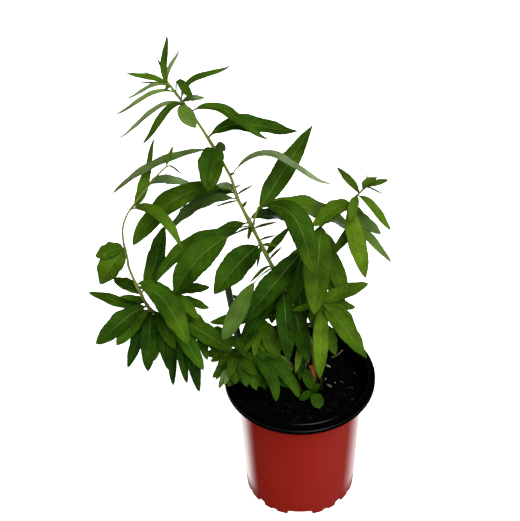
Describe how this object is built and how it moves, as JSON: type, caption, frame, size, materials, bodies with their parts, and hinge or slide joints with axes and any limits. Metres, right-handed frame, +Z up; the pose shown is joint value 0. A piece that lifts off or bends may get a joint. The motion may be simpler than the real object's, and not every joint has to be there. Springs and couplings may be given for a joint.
{
  "type": "potted herb plant",
  "caption": "Young leafy herb with long lance-shaped leaves on slender leaning shoots, in dark soil with a support cane, standing in a round tapered nursery pot.",
  "frame": {"origin": "centre of the pot's flat underside", "axes": "+Z up out of the pot, +X to the viewer's right and +Y away from the viewer in the picture"},
  "size_m": [0.2482, 0.13, 0.4588],
  "materials": {
    "pot": "satin",
    "soil": "matte",
    "stake": "satin",
    "leaf": "satin",
    "young_leaf": "satin"
  },
  "bodies": {
    "root": {"pot": "pot", "soil": "soil", "stake": "stake", "leader": "leaf", "left_branch": "leaf", "right_shoot": "young_leaf", "inner_shoot": "young_leaf", "front_shoot": "leaf", "left_inner_shoot": "leaf", "basal_sprig": "young_leaf"}
  },
  "joints": []
}
